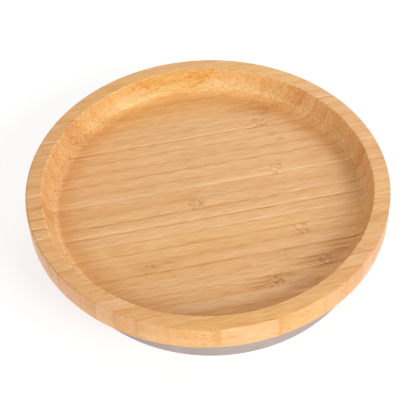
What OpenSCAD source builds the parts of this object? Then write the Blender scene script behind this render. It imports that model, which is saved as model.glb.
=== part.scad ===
// Shallow bamboo bowl for a small child, on a silicone suction ring.
// The bowl is one glued panel of bamboo strips, turned round. The ring grips a foot under it.
// Frame: +Z up, origin at the centre of the table face, the grain of the bamboo along X.

/* [Bowl] */
// Outside radius of the rim
rim_r = 90; // [80:1:100]
// Height of the rim above the table
rim_top_z = 38; // [36:0.5:44]
// Height of the rim's outer wall
rim_h = 15; // [14:0.5:17]
// Width of the flat rim
rim_w = 8.3; // [7:0.1:10]
// Depth of the inside, from the rim to the floor
bowl_depth = 13.5; // [11:0.5:15]
// Radius of the fillet between the wall and the floor
floor_fillet_r = 5.8; // [4:0.1:7]
// Lean of the inside wall, in degrees
wall_draft = 10; // [5:1:15]
// Rounding of the rim's upper outer edge
rim_round = 1; // [0.6:0.1:1.5]
// Rounding of the rim's upper inner edge
lip_round = 0.8; // [0.5:0.1:1.2]
// Rounding of the rim's lower edge
skirting_round = 2.5; // [1.5:0.1:3.5]

/* [Bamboo] */
// Thickness of one strip, across the grain
strip_t = 7; // [6.5:0.1:10]
// Distance of one glue line from the centre
glue_line_offset = 2; // [0:0.5:4]
// Thinnest sliver of a strip that is kept apart
least_sliver = 0.8; // [0.8:0.1:1.5]

/* [Silicone ring] */
// Radius of the wooden foot that the ring grips
foot_r = 70; // [62:0.5:70]
// Depth of the foot below the rim's underside
foot_h = 8.9; // [7:0.1:10]
// Gap between the foot and the ring's bore
grip_gap = 0.05; // [0.02:0.01:0.1]
// Gap between the bowl and the faces that it sits on
seat_gap = 0.1; // [0.05:0.05:0.3]
// Wall of the collar outside the foot
collar_wall = 5; // [4:0.5:6]
// Width of the ledge under the foot
ledge_w = 8; // [4:0.5:10]
// Thickness of the ledge under the foot
ledge_t = 2.5; // [2:0.1:3]
// Flare of the skirt, from the collar to the table
skirt_flare = 3; // [2:0.5:5]
// Thickness of the skirt where it meets the table
lip_t = 2.2; // [1.5:0.1:3]
// Width of the flat face that seals on the table
seal_w = 3.4; // [2:0.1:4]

/* [Release tab] */
// Width of the tab
tab_w = 22; // [16:1:28]
// Length of the tab beyond its bend
tab_l = 10.2; // [8:0.1:12]
// Thickness of the tab
tab_t = 2; // [1.6:0.1:2.4]
// Height of the tab above the table
tab_lift = 0.3; // [0.3:0.1:1]
// Gap between the tab's root and the skirt
bend_gap = 0.3; // [0.3:0.1:0.6]
// Number of grip ribs
tab_ribs = 3; // [2:1:4]
// Height of a grip rib
rib_h = 0.5; // [0.3:0.1:0.6]

/* [Hidden] */
bamboo_light = [0.89, 0.70, 0.46];
bamboo_dark = [0.80, 0.58, 0.35];
silicone_colour = [0.70, 0.64, 0.61];
turn_fn = 360;
tab_fn = 48;
arc_steps = 6;
flare_steps = 8;
join = 1;

rim_bottom_z = rim_top_z - rim_h;
floor_z = rim_top_z - bowl_depth;
lip_r = rim_r - rim_w;
foot_z = rim_bottom_z - foot_h;
foot_round = 1;

ledge_z = foot_z - seat_gap;
bore_r = foot_r + grip_gap;
collar_top_z = rim_bottom_z - seat_gap;
collar_z = ledge_z - ledge_t;
collar_r = bore_r + collar_wall;
collar_round = 1.2;
skirt_r = collar_r + skirt_flare;
seal_edge = 0.8;

bend_r = tab_t / 2;
bend_y = skirt_r + bend_gap + bend_r;
bend_z = tab_lift + bend_r;
tab_corner = 5;
rib_w = 1;
rib_l = tab_w - 2 * tab_corner;
rib_pitch = 2.2;
rib_end = 3.5;

// Glue lines, from the front to the back, without any that would leave a thin sliver
first_line = ceil((least_sliver - rim_r - glue_line_offset) / strip_t);
last_line = floor((rim_r - least_sliver - glue_line_offset) / strip_t);
glue_lines = [for (k = [first_line : last_line]) glue_line_offset + k * strip_t];
strip_edges = concat([-rim_r - join], glue_lines, [rim_r + join]);
strip_count = len(strip_edges) - 1;

function strip_name(i) = str("bamboo_strip_", i < 10 ? "0" : "", i);

// Points of an arc round c, from angle a to angle b
function arc(c, r, a, b) = [
    for (k = [0 : arc_steps])
        let (t = a + (b - a) * k / arc_steps)
        c + r * [cos(t), sin(t)]
];

// Radius of the inside wall at height z, above the fillet
function wall_r(z) = lip_r - (rim_top_z - z) * tan(wall_draft);
fillet_c = [
    wall_r(floor_z + floor_fillet_r * (1 - sin(wall_draft))) - floor_fillet_r * cos(wall_draft),
    floor_z + floor_fillet_r
];
lip_c = [lip_r + lip_round, rim_top_z - lip_round];

// Half section of the turned bowl: foot, underside, rim, wall, fillet and floor
bowl_section = concat(
    [[0, foot_z]],
    arc([foot_r - foot_round, foot_z + foot_round], foot_round, -90, 0),
    [[foot_r, rim_bottom_z]],
    arc([rim_r - skirting_round, rim_bottom_z + skirting_round], skirting_round, -90, 0),
    arc([rim_r - rim_round, rim_top_z - rim_round], rim_round, 0, 90),
    arc(lip_c, lip_round, 90, 180 - wall_draft),
    arc(fillet_c, floor_fillet_r, -wall_draft, -90),
    [[0, floor_z]]
);

// The collar: a bore round the foot, a ledge under it, and a rounded outer edge
collar_section = concat(
    [[foot_r - ledge_w, collar_z], [collar_r, collar_z]],
    arc([collar_r - collar_round, collar_top_z - collar_round], collar_round, 0, 90),
    [[bore_r, collar_top_z], [bore_r, ledge_z], [foot_r - ledge_w, ledge_z]]
);

// The skirt flares as a parabola, and thins from the collar's wall to the lip
function flare(t) = skirt_flare * (1 - t) * (1 - t);
function skirt_wall(t) = lip_t + (collar_wall - lip_t) * t;
function skirt_out(t) = [collar_r + flare(t), seal_edge + (collar_z - seal_edge) * t];
function skirt_in(t) = [collar_r + flare(t) - skirt_wall(t), seal_edge + (collar_z - seal_edge) * t];
skirt_section = concat(
    [[skirt_r - seal_edge - seal_w, 0]],
    arc([skirt_r - seal_edge, seal_edge], seal_edge, -90, 0),
    [for (k = [1 : flare_steps]) skirt_out(k / flare_steps)],
    [for (k = [flare_steps : -1 : 1]) skirt_in(k / flare_steps)],
    [[skirt_r - seal_edge - seal_w, seal_edge]]
);

module turned_bowl() {
    rotate_extrude($fn = turn_fn) polygon(bowl_section);
}

// One strip of the glued panel, cut from the turned bowl between two glue lines
module bamboo_strip(i) {
    y0 = strip_edges[i - 1];
    y1 = strip_edges[i];
    color(i % 2 == 0 ? bamboo_light : bamboo_dark)
        intersection() {
            turned_bowl();
            translate([-rim_r - join, y0, foot_z - join])
                cube([2 * (rim_r + join), y1 - y0, rim_top_z - foot_z + 2 * join]);
        }
}

// Upper part of the silicone ring, which grips the foot
module suction_collar() {
    color(silicone_colour)
        rotate_extrude($fn = turn_fn) polygon(collar_section);
}

// Lower part of the silicone ring, which seals on the table and gives when pressed
module suction_skirt() {
    color(silicone_colour)
        rotate_extrude($fn = turn_fn) polygon(skirt_section);
}

// Outline of the tab: straight at its root, with a rounded tip
module tab_outline() {
    translate([-tab_w / 2, bend_y])
        square([tab_w, tab_l - tab_corner]);
    translate([-tab_w / 2 + tab_corner, bend_y])
        square([tab_w - 2 * tab_corner, tab_l]);
    for (s = [-1, 1])
        translate([s * (tab_w / 2 - tab_corner), bend_y + tab_l - tab_corner])
            circle(r = tab_corner, $fn = tab_fn);
}

// Flap that lifts the seal's edge, with a round root at its bend and ribs for a fingertip
module release_tab() {
    color(silicone_colour) {
        translate([0, 0, tab_lift])
            linear_extrude(height = tab_t)
                tab_outline();
        translate([-tab_w / 2, bend_y, bend_z])
            rotate([0, 90, 0])
                cylinder(r = bend_r, h = tab_w, $fn = tab_fn);
        for (k = [0 : tab_ribs - 1])
            translate([-rib_l / 2, bend_y + tab_l - rib_end - k * rib_pitch, bend_z])
                cube([rib_l, rib_w, tab_t / 2 + rib_h]);
    }
}

for (i = [1 : strip_count])
    bamboo_strip(i);
suction_collar();
suction_skirt();
release_tab();
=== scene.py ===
import math
import random

import bmesh
import bpy
from mathutils import Matrix, Vector


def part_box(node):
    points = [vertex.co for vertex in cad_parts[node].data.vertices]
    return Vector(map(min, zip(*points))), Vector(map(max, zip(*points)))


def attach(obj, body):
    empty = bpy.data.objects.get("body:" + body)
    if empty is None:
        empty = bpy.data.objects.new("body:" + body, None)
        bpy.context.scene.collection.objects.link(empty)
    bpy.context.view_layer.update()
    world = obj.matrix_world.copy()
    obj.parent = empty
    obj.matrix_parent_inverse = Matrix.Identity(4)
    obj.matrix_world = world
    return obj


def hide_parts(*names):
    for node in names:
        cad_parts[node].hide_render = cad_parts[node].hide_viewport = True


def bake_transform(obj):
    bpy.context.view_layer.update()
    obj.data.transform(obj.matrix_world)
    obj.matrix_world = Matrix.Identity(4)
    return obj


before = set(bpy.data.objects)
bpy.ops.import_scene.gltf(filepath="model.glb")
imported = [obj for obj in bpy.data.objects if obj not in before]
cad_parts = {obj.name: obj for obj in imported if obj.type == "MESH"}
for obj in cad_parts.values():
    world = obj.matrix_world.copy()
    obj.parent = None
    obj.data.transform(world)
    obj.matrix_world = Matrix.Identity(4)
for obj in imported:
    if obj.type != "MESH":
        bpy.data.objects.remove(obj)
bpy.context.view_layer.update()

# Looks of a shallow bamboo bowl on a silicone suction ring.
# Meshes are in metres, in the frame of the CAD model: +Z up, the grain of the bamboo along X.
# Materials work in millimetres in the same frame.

MM = 0.001


# ---------------------------------------------------------------- sizes, from the frame

STRIPS = sorted(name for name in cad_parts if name.startswith("bamboo_strip_"))
STRIP_BOX = {name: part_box(name) for name in STRIPS}
COLLAR_LOW, COLLAR_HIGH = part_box("suction_collar")
SKIRT_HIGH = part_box("suction_skirt")[1]
TAB_LOW, TAB_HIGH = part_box("release_tab")

RIM_R = max(high.x for low, high in STRIP_BOX.values())
RIM_TOP = max(high.z for low, high in STRIP_BOX.values())
FOOT_Z = min(low.z for low, high in STRIP_BOX.values())
# The first strip is a thin slice of the rim only, and the second reaches the rim's underside
RIM_BOTTOM = STRIP_BOX[STRIPS[1]][0].z

# Sizes that no box gives: the same as in the CAD model
FOOT_R = 70 * MM
RIM_W = 8.3 * MM
BOWL_DEPTH = 13.5 * MM
WALL_DRAFT = math.radians(10)
FLOOR_FILLET = 5.8 * MM
RIM_ROUND = 1.0 * MM
LIP_ROUND = 0.8 * MM
SKIRTING_ROUND = 2.5 * MM
FOOT_ROUND = 1.0 * MM
# Segments round the bowl and the ring
SEGMENTS = 360


# ---------------------------------------------------------------- camera

CAMERA_AZIMUTH = math.radians(-11)
CAMERA_ELEVATION = math.radians(48.75)
CAMERA_ROLL = math.radians(-1.9)
CAMERA_DISTANCE = 6.587 * RIM_R
# How far the camera is moved sideways and up from looking at the middle of the rim
AIM_RIGHT = -0.002 * RIM_R
AIM_UP = -0.146 * RIM_R
# Focal length and width of the sensor, in millimetres
LENS = 103.74
SENSOR = 36
# Nothing nearer to the camera than this is drawn
NEAREST = 10 * MM


def make_camera():
    right = Vector((math.cos(CAMERA_AZIMUTH), math.sin(CAMERA_AZIMUTH), 0))
    back = Vector((
        math.sin(CAMERA_AZIMUTH) * math.cos(CAMERA_ELEVATION),
        -math.cos(CAMERA_AZIMUTH) * math.cos(CAMERA_ELEVATION),
        math.sin(CAMERA_ELEVATION),
    ))
    up = back.cross(right)
    place = Vector((0, 0, RIM_TOP)) + back * CAMERA_DISTANCE + right * AIM_RIGHT + up * AIM_UP
    rolled_right = right * math.cos(CAMERA_ROLL) + up * math.sin(CAMERA_ROLL)
    rolled_up = up * math.cos(CAMERA_ROLL) - right * math.sin(CAMERA_ROLL)
    turn = Matrix((rolled_right, rolled_up, back)).transposed()
    data = bpy.data.cameras.new("camera")
    data.lens = LENS
    data.sensor_width = SENSOR
    data.clip_start = NEAREST
    camera = bpy.data.objects.new("camera", data)
    camera.matrix_world = Matrix.Translation(place) @ turn.to_4x4()
    bpy.context.scene.collection.objects.link(camera)
    bpy.context.scene.camera = camera


make_camera()


# ---------------------------------------------------------------- shader building

def srgb(red, green, blue):
    """A colour given as 0 to 255 display values, as the linear colour that a shader takes."""
    def linear(value):
        value /= 255
        return value / 12.92 if value <= 0.04045 else ((value + 0.055) / 1.055) ** 2.4
    return (linear(red), linear(green), linear(blue), 1)


class Shader:
    """A material under construction, with short calls for the nodes that it uses."""

    def __init__(self, name):
        self.material = bpy.data.materials.new(name)
        self.material.use_nodes = True
        self.tree = self.material.node_tree
        self.tree.nodes.clear()
        self.surface = self.tree.nodes.new("ShaderNodeBsdfPrincipled")
        output = self.tree.nodes.new("ShaderNodeOutputMaterial")
        self.tree.links.new(self.surface.outputs[0], output.inputs[0])

    def put(self, socket, value):
        if isinstance(value, bpy.types.NodeSocket):
            self.tree.links.new(value, socket)
        else:
            socket.default_value = value

    def set(self, **inputs):
        for name, value in inputs.items():
            self.put(self.surface.inputs[name.replace("_", " ")], value)

    def position(self):
        """Place in the frame of the CAD model, in millimetres."""
        coordinates = self.tree.nodes.new("ShaderNodeTexCoord")
        return self.vector("MULTIPLY", coordinates.outputs["Object"], (1000, 1000, 1000))

    def normal(self):
        coordinates = self.tree.nodes.new("ShaderNodeTexCoord")
        return coordinates.outputs["Normal"]

    def vector(self, operation, a, b):
        node = self.tree.nodes.new("ShaderNodeVectorMath")
        node.operation = operation
        self.put(node.inputs[0], a)
        self.put(node.inputs[1], b)
        return node.outputs[0]

    def split(self, vector):
        node = self.tree.nodes.new("ShaderNodeSeparateXYZ")
        self.put(node.inputs[0], vector)
        return node.outputs[0], node.outputs[1], node.outputs[2]

    def join(self, x, y, z):
        node = self.tree.nodes.new("ShaderNodeCombineXYZ")
        for socket, value in zip(node.inputs, (x, y, z)):
            self.put(socket, value)
        return node.outputs[0]

    def math(self, operation, a, b=0.0, c=0.0):
        node = self.tree.nodes.new("ShaderNodeMath")
        node.operation = operation
        for socket, value in zip(node.inputs, (a, b, c)):
            self.put(socket, value)
        return node.outputs[0]

    def times(self, first, *others):
        """Product of two or more values."""
        for other in others:
            first = self.math("MULTIPLY", first, other)
        return first

    def add(self, value, more, weight):
        """value + more * weight"""
        return self.math("MULTIPLY_ADD", more, weight, value)

    def centred(self, value):
        """A value of 0 to 1, brought to either side of 0."""
        return self.math("SUBTRACT", value, 0.5)

    def opposite(self, value):
        return self.math("SUBTRACT", 1.0, value)

    def ramp(self, value, low, high, out_low=0.0, out_high=1.0):
        """Smooth step of value from low to high."""
        node = self.tree.nodes.new("ShaderNodeMapRange")
        node.interpolation_type = "SMOOTHSTEP"
        for socket, number in zip(node.inputs, (value, low, high, out_low, out_high)):
            self.put(socket, number)
        return node.outputs[0]

    def noise(self, vector, detail=2.0, roughness=0.5):
        node = self.tree.nodes.new("ShaderNodeTexNoise")
        self.put(node.inputs["Vector"], vector)
        node.inputs["Scale"].default_value = 1
        node.inputs["Detail"].default_value = detail
        node.inputs["Roughness"].default_value = roughness
        return node.outputs["Fac"]

    def cells(self, vector):
        """Distance to the nearest cell's centre."""
        node = self.tree.nodes.new("ShaderNodeTexVoronoi")
        self.put(node.inputs["Vector"], vector)
        node.inputs["Scale"].default_value = 1
        return node.outputs["Distance"]

    def mix(self, share, a, b, blend="MIX", wide=False):
        """A mix of two colours. A wide one goes on past both ends, so that any share counts."""
        node = self.tree.nodes.new("ShaderNodeMix")
        node.data_type = "RGBA"
        node.blend_type = blend
        node.clamp_factor = not wide
        self.put(node.inputs[0], share)
        self.put(node.inputs[6], a)
        self.put(node.inputs[7], b)
        return node.outputs[2]

    def bump(self, height, distance, strength):
        node = self.tree.nodes.new("ShaderNodeBump")
        node.inputs["Strength"].default_value = strength
        node.inputs["Distance"].default_value = distance
        self.put(node.inputs["Height"], height)
        return node.outputs[0]


# ---------------------------------------------------------------- bamboo: what each strip looks like

# Culm nodes that the strips show: place along the grain in millimetres, strength of the mark, and how
# much paler (above 0) or darker (below 0) the streaks are that run from it along the grain
CULM_NODES = {
    5: [(38, 0.6, -0.9)],
    6: [(20, 1.0, -1.0)],
    7: [(46.5, 1.0, -1.2)],
    8: [(28, 0.5, -0.2), (60, 0.0, -1.0)],
    9: [(-37.5, 0.6, -0.3)],
    10: [(41, 0.8, -0.2)],
    14: [(-6, 0.8, 0.0)],
    16: [(38.5, 0.7, 0.5)],
    18: [(-5, 0.4, 0.0)],
    19: [(45.5, 0.5, 0.4)],
    21: [(38, 0.9, 0.1)],
    22: [(42, 0.5, -0.35)],
    23: [(42, 0.4, -0.3)],
}
# How dark the glue line at the front face of a strip is, where it isn't the usual
GLUE_USUAL = 0.45
GLUE = {
    8: 0.1, 9: 1.1, 10: 0.35, 11: 1.0, 12: 0.4, 13: 1.1, 14: 1.1,
    17: 0.5, 18: 0.9, 20: 0.6, 21: 0.9, 22: 0.15, 24: 0.2,
}
# How strong the pale line along the front face of a strip is, where it has one
CREST = {12: 0.4, 13: 0.9, 16: 1.0, 21: 0.9, 22: 0.4}
# How much lighter (above 0) or darker (below 0) than the rest a strip is. This and the golden hue below hold
# some of the photo's light: strips 23 to 25 also take up part of a bright golden glow on the back wall.
SHADE = {
    1: 0.28, 2: -0.02, 4: -0.10, 5: 0.09, 6: -0.05, 8: -0.04, 11: 0.03, 12: 0.06, 13: 0.05,
    15: -0.04, 16: 0.03, 23: 0.02, 24: 0.04, 25: 0.06, 26: 0.10, 27: 0.05,
}
# How much more golden (above 0) or less golden (below 0) than the rest a strip is
GOLDEN = {
    1: 0.1, 2: 0.6, 3: 0.2, 4: 0.1, 5: -0.2, 10: 0.2, 11: 0.3,
    23: 0.4, 24: 0.6, 25: 0.6, 26: 0.1, 27: 0.6,
}
# The same for the first few millimetres behind the front face, where the rind of the culm was
GOLDEN_RIND = {26: 1.0}
RIND = (4.5, 2.5)


# ---------------------------------------------------------------- bamboo: the grain

# Sizes of the patterns in millimetres: along the grain, across it and up
SWAY_SIZE = (55, 14, 50 / 3)
DRIFT_SIZE = (60, 4.5, 6.0)
STREAK_SIZE = (20, 0.85, 1.0)
FINE_SIZE = (8, 0.36, 0.36)
LAYER_SIZE = (70, 0.6, 9.0)
VESSEL_SIZE = (30, 0.9, 0.9)
BREAK_SIZE = (22, 3.0, 3.0)
NODE_BEND_SIZE = (4, 2.5, 2.5)
NODE_BLOTCH_SIZE = (2.0, 1.5, 1.7)
# How far the fibres sway across the grain in millimetres, and how much of that they sway up
SWAY = 2.4
SWAY_UP = 0.8
# How far apart in one endless noise the strips lie
STRIPS_APART = 100.0
# Distance from a glue line or a pale line, in millimetres, where it has faded out and where it is full
LINE = (1.0, 0.1)
CREST_PLACE = 1.4
# Distance from the middle of a culm node, in millimetres, where it has faded out and where it is full
NODE_CORE = (4.3, 2.3)
NODE_STREAKS = (20, 2)
NODE_BEND = 4.0

# How much each pattern changes the tone, where 0 is dark and 1 is pale
DRIFT_TONE = 0.38
STREAK_TONE = -0.34
FINE_TONE = 1.6
LAYER_TONE = 0.7
DEPTH_TONE = -0.10
INNER_WALL_TONE = 0.16
GLUE_TONE = -0.45
CREST_TONE = 0.27
NODE_STREAKS_TONE = 0.34
NODE_PALE_TONE = 0.18
NODE_DARK_TONE = -0.27
# The tone stays between these
DARKEST = -0.6
PALEST = 1.25

# Colours at tone 0 and at tone 1, the brown of the culm nodes, and the largest share of that brown
DARKER = srgb(217, 150, 84)
PALER = srgb(249, 205, 154)
BROWN = srgb(170, 106, 73)
MOST_BROWN = 0.8
# The gloss of the fibres is golden
FIBRE_GLOSS = (1.0, 0.85, 0.4, 1)


# ---------------------------------------------------------------- bamboo: tints

# Tints that bring the render closer to the photo, alike on opposite sides of the bowl. Some are painted light
# and shade, not wood: painted shade darkens and warms the floor's corner, more where end grain shows; a
# painted sheen makes the level middle of the floor paler; the hollow's is a painted highlight, a pale band of
# gloss; and the upper outer wall's are painted shade, darker above as on a wall that is lit from below. The
# others make the rim's top a little warmer, the inner wall a little more golden, and the outer wall darker
# where end grain shows.
GOLDEN_TINT = (1.02, 1.01, 0.77, 1)
PAINTED_MIDDLE_SHEEN = (1.01, 1.03, 1.06, 1)
INNER_WALL_TINT = (1.01, 1.02, 0.96, 1)
PAINTED_CORNER_SHADE = (1.01, 0.96, 0.90, 1)
PAINTED_CORNER_END_SHADE = (0.95, 0.94, 0.90, 1)
HOLLOW_TINT = (1.03, 1.20, 1.48, 1)
RIM_TINT = (1.00, 0.98, 0.96, 1)
OUTER_TINT = (0.94, 0.94, 0.94, 1)
OUTER_END_TINT = (0.91, 0.89, 0.90, 1)
OUTER_HIGH_END_TINT = (1.00, 0.92, 0.86, 1)

# Where a part of the bowl begins and where it is full, as distances from the axis in millimetres
MIDDLE = (70, 58)
CORNER = (66, 73)
INNER_WALL = (73.5, 80)
WITHIN_LIP = (83.0, 82.2)
RIM = (82.0, 83.0)
OUTER_WALL = (89.0, 89.9)
# The same, as heights above the table in millimetres
ABOVE_UNDERSIDE = (24.0, 24.4)
CORNER_HEIGHT = (27.0, 25.2)
CORNER_END_HEIGHT = (28.5, 25.5)
HOLLOW_FOOT = (25.8, 28.5)
HOLLOW_TOP = (34.5, 29.5)
OUTER_HIGH = (28, 33)
# The same, as the share of the grain's direction in the direction from the axis
END_GRAIN = (0.2, 0.9)
SIDE_GRAIN = (0.8, 0.35)
# The same, as the upward share of the surface's normal
LEVEL = (0.4, 0.95)


class Strip:
    """One strip's wood, as sockets of its shader: where a point lies, and how the fibres run there."""

    def __init__(self, s, number, low, high):
        self.s = s
        self.number = number
        self.chance = random.Random(number)
        self.width = (high.y - low.y) / MM
        self.x, self.y, self.z = s.split(s.position())
        self.across = s.math("SUBTRACT", self.y, low.y / MM)
        self.place_on_bowl()
        self.bend_fibres()
        self.grow_fibres()

    def place_on_bowl(self):
        """Where on the bowl: level surfaces, the inside of the wall, end grain and side grain."""
        s, x, y = self.s, self.x, self.y
        self.level = s.ramp(s.split(s.normal())[2], *LEVEL)
        self.radius = s.math("SQRT", s.math("ADD", s.times(x, x), s.times(y, y)))
        self.within_lip = s.ramp(self.radius, *WITHIN_LIP)
        above = s.ramp(self.z, *ABOVE_UNDERSIDE)
        self.inside = s.times(s.ramp(self.radius, *INNER_WALL), self.within_lip, above)
        facing_along = s.math("ABSOLUTE", s.math("DIVIDE", x, self.radius))
        self.end_grain = s.ramp(facing_along, *END_GRAIN)
        self.side_grain = s.ramp(facing_along, *SIDE_GRAIN)
        self.inside_end = s.times(self.inside, self.end_grain)

    def bend_fibres(self):
        """Slow waves of the fibres."""
        s = self.s
        apart = STRIPS_APART * self.number
        self.shifted = s.math("ADD", self.x, apart)
        sway = s.join(
            s.math("DIVIDE", self.x, SWAY_SIZE[0]),
            s.math("DIVIDE", self.y, SWAY_SIZE[1]),
            s.math("MULTIPLY_ADD", self.z, 1 / SWAY_SIZE[2], apart),
        )
        sway = s.times(s.centred(s.noise(sway, 1)), SWAY)
        self.fibre_y = s.math("ADD", self.y, sway)
        self.fibre_z = s.add(self.z, sway, SWAY_UP)

    def grow_fibres(self):
        """Streaks, and vessels, which are dots on end grain and get denser towards one face."""
        s = self.s
        self.streak = s.noise(self.along_fibres(STREAK_SIZE, 7.3), 3, 0.55)
        dense_at_back = self.chance.random() < 0.5
        depth = s.math("DIVIDE", self.across, self.width)
        self.depth = depth if dense_at_back else s.opposite(depth)
        reach = s.ramp(self.depth, 0.0, 1.0, 0.26, 0.44)
        cells = s.cells(self.along_fibres(VESSEL_SIZE, 5.7))
        self.vessel = s.ramp(s.math("SUBTRACT", reach, cells), -0.06, 0.12)

    def along_fibres(self, size, offset=0.0):
        """Place in a pattern of this size that follows the fibres. The offset keeps it apart from others."""
        s = self.s
        return s.join(
            s.math("MULTIPLY_ADD", self.shifted, 1 / size[0], offset),
            s.math("DIVIDE", self.fibre_y, size[1]),
            s.math("DIVIDE", self.fibre_z, size[2]),
        )

    def through_fibres(self, size):
        """Place in a pattern of this size that doesn't follow the fibres."""
        s = self.s
        return s.join(
            s.math("DIVIDE", self.shifted, size[0]),
            s.math("DIVIDE", self.y, size[1]),
            s.math("DIVIDE", self.z, size[2]),
        )

    def line(self, place):
        """A line along the grain, this many millimetres behind the front face."""
        away = self.s.math("ABSOLUTE", self.s.math("SUBTRACT", self.across, place))
        return self.s.ramp(away, *LINE)


def fibre_tone(strip):
    """Tone of the plain wood. The fine grain is strongest in end grain on the inner wall."""
    s = strip.s
    drift = s.noise(strip.along_fibres(DRIFT_SIZE), 1)
    fine = s.noise(strip.along_fibres(FINE_SIZE, 3.1), 2, 0.6)
    layer = s.noise(strip.along_fibres(LAYER_SIZE, 1.7), 2, 0.6)
    fine_share = s.add(s.add(1.0, strip.inside_end, 1.3), strip.inside, 0.5)
    vessel_share = s.add(0.09, s.opposite(strip.level), 0.15)
    tone = 0.5 + SHADE.get(strip.number, 0.0)
    tone = s.add(tone, s.centred(drift), DRIFT_TONE)
    tone = s.add(tone, s.centred(strip.streak), STREAK_TONE)
    tone = s.add(tone, s.times(s.centred(fine), fine_share), FINE_TONE)
    tone = s.add(tone, s.times(s.centred(layer), strip.inside_end), LAYER_TONE)
    tone = s.add(tone, s.times(strip.vessel, vessel_share), -1.0)
    tone = s.add(tone, strip.inside, strip.chance.uniform(-INNER_WALL_TONE, INNER_WALL_TONE))
    return s.add(tone, strip.depth, DEPTH_TONE)


def line_tone(strip, tone):
    """Tone with the glue lines and the pale line, all broken here and there and softer on walls."""
    s = strip.s
    broken = s.ramp(s.noise(strip.along_fibres(BREAK_SIZE, 9.9), 1), 0.25, 0.6, 0.35, 1.0)
    on_level = s.add(0.8, strip.level, 0.2)
    off_inner_wall = s.add(0.7, s.opposite(strip.inside), 0.3)
    broken = s.times(broken, on_level, off_inner_wall)
    front = GLUE.get(strip.number, GLUE_USUAL)
    back = GLUE.get(strip.number + 1, GLUE_USUAL)
    crest = CREST.get(strip.number, 0.0)
    tone = s.add(tone, s.times(strip.line(0.0), broken), GLUE_TONE * front)
    tone = s.add(tone, s.times(strip.line(strip.width), broken), GLUE_TONE * back)
    return s.add(tone, s.times(strip.line(CREST_PLACE), broken), CREST_TONE * crest)


def culm_nodes(strip, tone, relief):
    """Tone, brownness and relief with the culm nodes: mottled patches with streaks to both sides."""
    s = strip.s
    brown = 0.0
    for place, strength, streaks in CULM_NODES.get(strip.number, []):
        bend = s.centred(s.noise(strip.through_fibres(NODE_BEND_SIZE), 1))
        away = s.math("ABSOLUTE", s.add(s.math("SUBTRACT", strip.x, place), bend, NODE_BEND))
        core = s.ramp(away, *NODE_CORE)
        halo = s.times(s.ramp(away, *NODE_STREAKS), s.ramp(strip.streak, 0.42, 0.60))
        blotch = s.noise(strip.through_fibres(NODE_BLOTCH_SIZE), 2)
        dark = s.times(core, s.ramp(blotch, 0.47, 0.60))
        pale = s.times(core, s.ramp(blotch, 0.45, 0.36))
        tone = s.add(tone, halo, NODE_STREAKS_TONE * streaks)
        tone = s.add(tone, pale, NODE_PALE_TONE * strength)
        tone = s.add(tone, dark, NODE_DARK_TONE * strength)
        brown = s.add(brown, dark, 0.40 * strength ** 2)
        brown = s.add(brown, halo, 0.30 * max(-streaks, 0.0))
        relief = s.add(relief, dark, -0.5)
    return tone, brown, relief


def tinted(strip, colour):
    """The colour with the strip's own hue, and with tints that are alike on opposite sides of the bowl."""
    s, radius, z = strip.s, strip.radius, strip.z
    rind = s.times(s.ramp(strip.across, *RIND), GOLDEN_RIND.get(strip.number, 0.0))
    golden = s.math("ADD", rind, GOLDEN.get(strip.number, 0.0))
    # Painted sheen: the level middle of the floor a little paler
    middle = s.times(strip.level, s.ramp(radius, *MIDDLE))
    # Painted shade: the floor's corner darker and warmer, more where end grain shows
    near_wall = s.ramp(radius, *CORNER)
    corner = s.times(near_wall, s.ramp(z, *CORNER_HEIGHT))
    corner_end = s.times(near_wall, strip.within_lip, s.ramp(z, *CORNER_END_HEIGHT), strip.end_grain)
    hollow = s.times(strip.inside, s.ramp(z, *HOLLOW_FOOT), s.ramp(z, *HOLLOW_TOP), strip.side_grain)
    rim = s.times(s.ramp(radius, *RIM), strip.level)
    outer = s.ramp(radius, *OUTER_WALL)
    outer_high = s.times(outer, s.ramp(z, *OUTER_HIGH))
    tints = (
        (golden, GOLDEN_TINT),
        (middle, PAINTED_MIDDLE_SHEEN),
        (strip.inside, INNER_WALL_TINT),
        (corner, PAINTED_CORNER_SHADE),
        (corner_end, PAINTED_CORNER_END_SHADE),
        (hollow, HOLLOW_TINT),
        (rim, RIM_TINT),
        (outer_high, OUTER_TINT),
        (s.times(outer, strip.end_grain), OUTER_END_TINT),
        (s.times(outer_high, strip.end_grain), OUTER_HIGH_END_TINT),
    )
    for share, tint in tints:
        colour = s.mix(share, colour, s.mix(1.0, colour, tint, blend="MULTIPLY"), wide=True)
    return colour


def bamboo(number, low, high):
    """Bamboo strips on edge: long fibres along X, vessels, glue lines at both faces, and culm nodes."""
    s = Shader(f"bamboo_{number:02d}")
    strip = Strip(s, number, low, high)
    relief = s.add(s.times(strip.vessel, -0.5), strip.streak, 0.6)
    tone = line_tone(strip, fibre_tone(strip))
    tone, brown, relief = culm_nodes(strip, tone, relief)
    tone = s.math("MAXIMUM", s.math("MINIMUM", tone, PALEST), DARKEST)
    colour = s.mix(tone, DARKER, PALER, wide=True)
    if number in CULM_NODES:
        colour = s.mix(s.math("MINIMUM", brown, MOST_BROWN), colour, BROWN)
    s.set(
        Base_Color=tinted(strip, colour),
        Roughness=s.ramp(strip.streak, 0.3, 0.7, 0.36, 0.50),
        Normal=s.bump(relief, 0.06 * MM, 0.6),
        Specular_IOR_Level=0.5,
        Specular_Tint=FIBRE_GLOSS,
        Coat_Weight=0.2,
        Coat_Roughness=0.27,
    )
    return s.material


# ---------------------------------------------------------------- silicone

SILICONE_DARK = srgb(166, 156, 152)
SILICONE_PALE = srgb(174, 163, 159)
SILICONE_WARM = srgb(169, 154, 148)
# How many clouds and grains there are in a millimetre
CLOUDS = (0.06, 0.06, 0.09)
GRAINS = (2.6, 2.6, 2.6)


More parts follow.
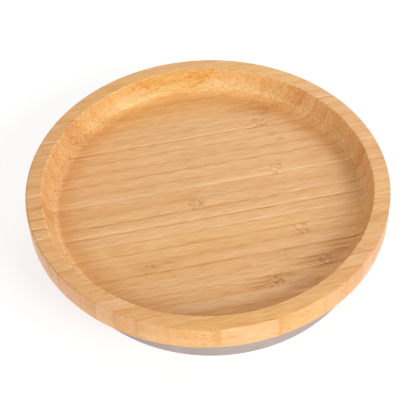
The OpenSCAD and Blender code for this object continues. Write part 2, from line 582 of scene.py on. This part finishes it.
def silicone():
    s = Shader("silicone")
    place = s.position()
    cloud = s.noise(s.vector("MULTIPLY", place, CLOUDS), 3)
    grain = s.noise(s.vector("MULTIPLY", place, GRAINS), 3, 0.6)
    colour = s.mix(s.ramp(cloud, 0.35, 0.65), SILICONE_DARK, SILICONE_PALE)
    colour = s.mix(s.times(s.ramp(grain, 0.4, 0.7), 0.12), colour, SILICONE_WARM)
    s.set(
        Base_Color=colour,
        Roughness=s.ramp(grain, 0.3, 0.7, 0.50, 0.62),
        Normal=s.bump(grain, 0.03 * MM, 0.5),
        Sheen_Weight=0.15,
        Sheen_Roughness=0.4,
        Specular_IOR_Level=0.35,
    )
    return s.material


SILICONE = silicone()


# ---------------------------------------------------------------- meshes

def arc(centre, radius, start, end, steps):
    """Points of an arc in the half section, from angle start to angle end in degrees."""
    angles = [math.radians(start + (end - start) * k / steps) for k in range(steps + 1)]
    return [(centre[0] + radius * math.cos(a), centre[1] + radius * math.sin(a)) for a in angles]


def link(name, mesh, material):
    piece = bpy.data.objects.new(name, mesh)
    bpy.context.scene.collection.objects.link(piece)
    mesh.materials.append(material)
    return piece


def smooth(mesh, angle=30):
    for polygon in mesh.polygons:
        polygon.use_smooth = True
    mesh.set_sharp_from_angle(angle=math.radians(angle))


def add_weighted_normals(piece):
    modifier = piece.modifiers.new("weighted_normals", "WEIGHTED_NORMAL")
    modifier.keep_sharp = True


def ring_of(bm, radius, z):
    turns = [2 * math.pi * k / SEGMENTS for k in range(SEGMENTS)]
    return [bm.verts.new((radius * math.cos(t), radius * math.sin(t), z)) for t in turns]


def join_rings(bm, first, second):
    for k in range(len(first)):
        n = (k + 1) % len(first)
        bm.faces.new((first[k], first[n], second[n], second[k]))


# ---------------------------------------------------------------- the bowl

def bowl_section():
    """Half section of the bowl: up the foot, out under the rim, up, in, and down to the edge of the floor."""
    floor_z = RIM_TOP - BOWL_DEPTH
    lip_r = RIM_R - RIM_W
    tangent_z = floor_z + FLOOR_FILLET * (1 - math.sin(WALL_DRAFT))
    wall_r = lip_r - (RIM_TOP - tangent_z) * math.tan(WALL_DRAFT)
    fillet = (wall_r - FLOOR_FILLET * math.cos(WALL_DRAFT), floor_z + FLOOR_FILLET)
    draft = math.degrees(WALL_DRAFT)
    return (
        arc((FOOT_R - FOOT_ROUND, FOOT_Z + FOOT_ROUND), FOOT_ROUND, -90, 0, 6)
        + [(FOOT_R, RIM_BOTTOM)]
        + arc((RIM_R - SKIRTING_ROUND, RIM_BOTTOM + SKIRTING_ROUND), SKIRTING_ROUND, -90, 0, 10)
        + arc((RIM_R - RIM_ROUND, RIM_TOP - RIM_ROUND), RIM_ROUND, 0, 90, 8)
        + arc((lip_r + LIP_ROUND, RIM_TOP - LIP_ROUND), LIP_ROUND, 90, 180 - draft, 8)
        + arc(fillet, FLOOR_FILLET, -draft, -90, 14)
    )


def turned_bowl():
    """The whole bowl as one closed mesh, before it is parted into strips."""
    bm = bmesh.new()
    rings = [ring_of(bm, r, z) for r, z in bowl_section()]
    for first, second in zip(rings, rings[1:]):
        join_rings(bm, first, second)
    bm.faces.new(list(reversed(rings[0])))
    bm.faces.new(rings[-1])
    bmesh.ops.recalc_face_normals(bm, faces=bm.faces)
    return bm


def cut(bm, y, keep_above):
    """Cuts the closed mesh at y, keeps one side and closes the cut."""
    everything = bm.verts[:] + bm.edges[:] + bm.faces[:]
    done = bmesh.ops.bisect_plane(
        bm, geom=everything, dist=1e-7, plane_co=(0, y, 0), plane_no=(0, 1, 0),
        clear_inner=keep_above, clear_outer=not keep_above,
    )
    edges = [e for e in done["geom_cut"] if isinstance(e, bmesh.types.BMEdge)]
    bmesh.ops.edgeloop_fill(bm, edges=edges)


def make_strips():
    whole = turned_bowl()
    for number, name in enumerate(STRIPS, 1):
        low, high = STRIP_BOX[name]
        bm = whole.copy()
        if number > 1:
            cut(bm, low.y, True)
        if number < len(STRIPS):
            cut(bm, high.y, False)
        bmesh.ops.recalc_face_normals(bm, faces=bm.faces)
        mesh = bpy.data.meshes.new(name + "_wood")
        bm.to_mesh(mesh)
        bm.free()
        smooth(mesh)
        piece = link(name + "_wood", mesh, bamboo(number, low, high))
        add_weighted_normals(piece)
        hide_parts(name)
        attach(piece, "bowl")
    whole.free()


make_strips()


# ---------------------------------------------------------------- the silicone ring

# Sizes that no box gives: the same as in the CAD model
GRIP_GAP = 0.05 * MM
SEAT_GAP = 0.1 * MM
LEDGE_W = 8 * MM
COLLAR_ROUND = 1.2 * MM
LIP_T = 2.2 * MM
SEAL_EDGE = 0.8 * MM
SEAL_W = 3.4 * MM
BORE_R = FOOT_R + GRIP_GAP
LEDGE_R = FOOT_R - LEDGE_W
LEDGE_TOP = FOOT_Z - SEAT_GAP
# The ledge's edges are rounded here and sharp in the CAD model
LEDGE_ROUND = 0.5 * MM
# Steps up the flared wall
WALL_STEPS = 14
# The skirt stands a little to one side at the table, the right in the photo. It is centred in the CAD model.
RING_SAG = 1.9 * MM
SAG_TURN = math.radians(-11)
SAG_DIRECTION = Vector((math.cos(SAG_TURN), math.sin(SAG_TURN), 0))


def ring_section():
    """Closed half section of the silicone ring, from the seal's inner edge outwards and round."""
    collar_r = COLLAR_HIGH.x
    flare = SKIRT_HIGH.x - collar_r
    skirt_top = COLLAR_LOW.z
    wall = collar_r - BORE_R

    def outside(t):
        return (collar_r + flare * (1 - t) ** 2, SEAL_EDGE + (skirt_top - SEAL_EDGE) * t)

    def inside(t):
        r, z = outside(t)
        return (r - LIP_T - (wall - LIP_T) * t, z)

    seal_in = SKIRT_HIGH.x - SEAL_EDGE - SEAL_W
    return (
        [(seal_in, 0), (seal_in + SEAL_W * 0.5, 0)]
        + arc((SKIRT_HIGH.x - SEAL_EDGE, SEAL_EDGE), SEAL_EDGE, -90, 0, 6)
        + [outside(k / WALL_STEPS) for k in range(1, WALL_STEPS + 1)]
        + arc((collar_r - COLLAR_ROUND, COLLAR_HIGH.z - COLLAR_ROUND), COLLAR_ROUND, 0, 90, 6)
        + [(BORE_R, COLLAR_HIGH.z), (BORE_R, LEDGE_TOP)]
        + arc((LEDGE_R + LEDGE_ROUND, LEDGE_TOP - LEDGE_ROUND), LEDGE_ROUND, 90, 180, 4)
        + arc((LEDGE_R + LEDGE_ROUND, skirt_top + LEDGE_ROUND), LEDGE_ROUND, 180, 270, 4)
        + [inside(k / WALL_STEPS) for k in range(WALL_STEPS, 0, -1)]
        + [(seal_in, SEAL_EDGE * 0.6)]
    )


def make_ring():
    bm = bmesh.new()
    rings = [ring_of(bm, r, z) for r, z in ring_section()]
    for first, second in zip(rings, rings[1:] + rings[:1]):
        join_rings(bm, first, second)
    bmesh.ops.recalc_face_normals(bm, faces=bm.faces)
    for vert in bm.verts:
        vert.co += SAG_DIRECTION * RING_SAG * max(0.0, 1 - vert.co.z / COLLAR_HIGH.z)
    mesh = bpy.data.meshes.new("suction_ring")
    bm.to_mesh(mesh)
    bm.free()
    smooth(mesh)
    piece = link("suction_ring", mesh, SILICONE)
    add_weighted_normals(piece)
    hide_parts("suction_collar", "suction_skirt")
    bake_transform(piece)


make_ring()


# ---------------------------------------------------------------- the release tab

TAB_TIP = TAB_HIGH.y
TAB_HALF = (TAB_HIGH.x - TAB_LOW.x) / 2
TAB_CORNER = 5 * MM
TAB_EDGE = 0.7 * MM
TAB_T = 2 * MM
# The root lies inside the skirt's wall, and the flap widens and rises towards it
TAB_ROOT = SKIRT_HIGH.x - 2.2 * MM
TAB_NECK = SKIRT_HIGH.x + 1.5 * MM
ROOT_WIDENING = 2.5 * MM
ROOT_RISE = 1.5 * MM
# Grip ribs: distance from the tip to the first, pitch, half length, length of a soft end and half width
RIB_FIRST = 3.0 * MM
RIB_PITCH = 2.2 * MM
RIBS = [TAB_TIP - RIB_FIRST - k * RIB_PITCH for k in range(3)]
RIB_HALF = 6 * MM
RIB_END = 1.2 * MM
RIB_R = 0.75 * MM
RIB_HEIGHT = TAB_HIGH.z - TAB_LOW.z - TAB_T
# The mesh: rows along the flap, places across it, and closer ones at these distances from the edge
ROW_STEP = 0.25 * MM
ACROSS_STEPS = 12
NEAR_EDGE = [d * MM for d in (0.0, 0.03, 0.12, 0.3, 0.6)]


def tab_root(y):
    """1 at the root, falling to 0 at the neck."""
    return max(0.0, (TAB_NECK - y) / (TAB_NECK - TAB_ROOT)) ** 2


def tab_width(y):
    """Half width of the flap at y."""
    past_corner = y - (TAB_TIP - TAB_CORNER)
    if past_corner > 0:
        return TAB_HALF - TAB_CORNER + math.sqrt(max(0.0, TAB_CORNER ** 2 - past_corner ** 2))
    return TAB_HALF + ROOT_WIDENING * tab_root(y)


def tab_inset(x, y):
    """How far the rounded edge of the flap is drawn in at this place, above and below."""
    side = max(0.0, abs(x) - (tab_width(min(y, TAB_TIP - TAB_CORNER)) - TAB_CORNER))
    end = max(0.0, y - (TAB_TIP - TAB_CORNER))
    edge = min(TAB_EDGE, max(0.0, TAB_CORNER - math.hypot(side, end)))
    return TAB_EDGE - math.sqrt(max(0.0, TAB_EDGE ** 2 - (TAB_EDGE - edge) ** 2))


def tab_rib(x, y):
    """Height of the grip ribs, with soft flanks and ends."""
    across = max(max(0.0, 1 - ((y - place) / RIB_R) ** 2) for place in RIBS)
    ends = min(1.0, max(0.0, (RIB_HALF + RIB_END / 2 - abs(x)) / RIB_END))
    return RIB_HEIGHT * math.sqrt(across) * ends


def tab_rows():
    """Places along the flap, from its root to its tip."""
    steps = int((TAB_TIP - TAB_ROOT - TAB_EDGE) / ROW_STEP)
    rows = [TAB_ROOT + ROW_STEP * k for k in range(steps + 1)]
    return rows + [TAB_TIP - d for d in reversed(NEAR_EDGE)]


def tab_places(y):
    """Places across the flap at y."""
    width = tab_width(y)
    inner = width - NEAR_EDGE[-1]
    places = [-width + d for d in NEAR_EDGE[:-1]]
    places += [inner * k / ACROSS_STEPS for k in range(-ACROSS_STEPS, ACROSS_STEPS + 1)]
    return places + [width - d for d in reversed(NEAR_EDGE[:-1])]


def make_tab():
    """A rounded flap with ribs, whose root runs into the skirt's wall."""
    bm = bmesh.new()
    above = []
    below = []
    for y in tab_rows():
        places = tab_places(y)
        top = TAB_LOW.z + TAB_T + ROOT_RISE * tab_root(y)
        above.append([bm.verts.new((x, y, top - tab_inset(x, y) + tab_rib(x, y))) for x in places])
        below.append([bm.verts.new((x, y, TAB_LOW.z + tab_inset(x, y))) for x in places])
    last = len(above[0]) - 1
    for k in range(len(above) - 1):
        for n in range(last):
            bm.faces.new((above[k][n], above[k][n + 1], above[k + 1][n + 1], above[k + 1][n]))
            bm.faces.new((below[k][n + 1], below[k][n], below[k + 1][n], below[k + 1][n + 1]))
        bm.faces.new((above[k][0], above[k + 1][0], below[k + 1][0], below[k][0]))
        bm.faces.new((above[k][last], below[k][last], below[k + 1][last], above[k + 1][last]))
    for n in range(last):
        bm.faces.new((above[0][n], below[0][n], below[0][n + 1], above[0][n + 1]))
        bm.faces.new((above[-1][n], above[-1][n + 1], below[-1][n + 1], below[-1][n]))
    bmesh.ops.recalc_face_normals(bm, faces=bm.faces)
    mesh = bpy.data.meshes.new("release_tab_flap")
    bm.to_mesh(mesh)
    bm.free()
    smooth(mesh, 60)
    piece = link("release_tab_flap", mesh, SILICONE)
    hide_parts("release_tab")
    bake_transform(piece)


make_tab()


# ---------------------------------------------------------------- floor, world and lights

# Half the side of the studio floor, in metres
FLOOR_HALF = 30.0
FLOOR_GREY = 0.44
FLOOR_GLOW = 0.66
WORLD_STRENGTH = 0.42
LIGHT_DISTANCE = 1.4
# Softboxes: azimuth and elevation in degrees, size in metres, power in watts. Azimuth 0 is at the camera's
# side of the bowl, and 90 at its right.
SOFTBOXES = {"key": (45, 29, 0.7, 12.0), "fill": (-45, 29, 0.7, 4.4), "back": (160, 31, 0.8, 5.4)}


def make_floor():
    bm = bmesh.new()
    corners = ((-1, -1), (1, -1), (1, 1), (-1, 1))
    bm.faces.new([bm.verts.new((x * FLOOR_HALF, y * FLOOR_HALF, 0)) for x, y in corners])
    mesh = bpy.data.meshes.new("floor")
    bm.to_mesh(mesh)
    bm.free()
    floor = bpy.data.objects.new("floor", mesh)
    bpy.context.scene.collection.objects.link(floor)
    s = Shader("floor")
    s.set(
        Base_Color=(FLOOR_GREY, FLOOR_GREY, FLOOR_GREY, 1),
        Roughness=0.9,
        Emission_Color=(1, 1, 1, 1),
        Emission_Strength=FLOOR_GLOW,
    )
    mesh.materials.append(s.material)


def make_world():
    world = bpy.data.worlds.new("studio")
    world.use_nodes = True
    background = world.node_tree.nodes["Background"]
    background.inputs["Color"].default_value = (1, 1, 1, 1)
    background.inputs["Strength"].default_value = WORLD_STRENGTH
    bpy.context.scene.world = world


def add_softbox(name, azimuth, elevation, size, power):
    """A square soft light aimed at the bowl."""
    a, e = math.radians(azimuth) + CAMERA_AZIMUTH, math.radians(elevation)
    direction = Vector((math.sin(a) * math.cos(e), -math.cos(a) * math.cos(e), math.sin(e)))
    data = bpy.data.lights.new(name, "AREA")
    data.size = size
    data.energy = power
    light = bpy.data.objects.new(name, data)
    place = Vector((0, 0, RIM_TOP)) + direction * LIGHT_DISTANCE
    turn = direction.to_track_quat("Z", "Y").to_matrix().to_4x4()
    light.matrix_world = Matrix.Translation(place) @ turn
    bpy.context.scene.collection.objects.link(light)


make_floor()
make_world()
for name, values in SOFTBOXES.items():
    add_softbox(name, *values)
bpy.context.scene.view_settings.view_transform = "Standard"
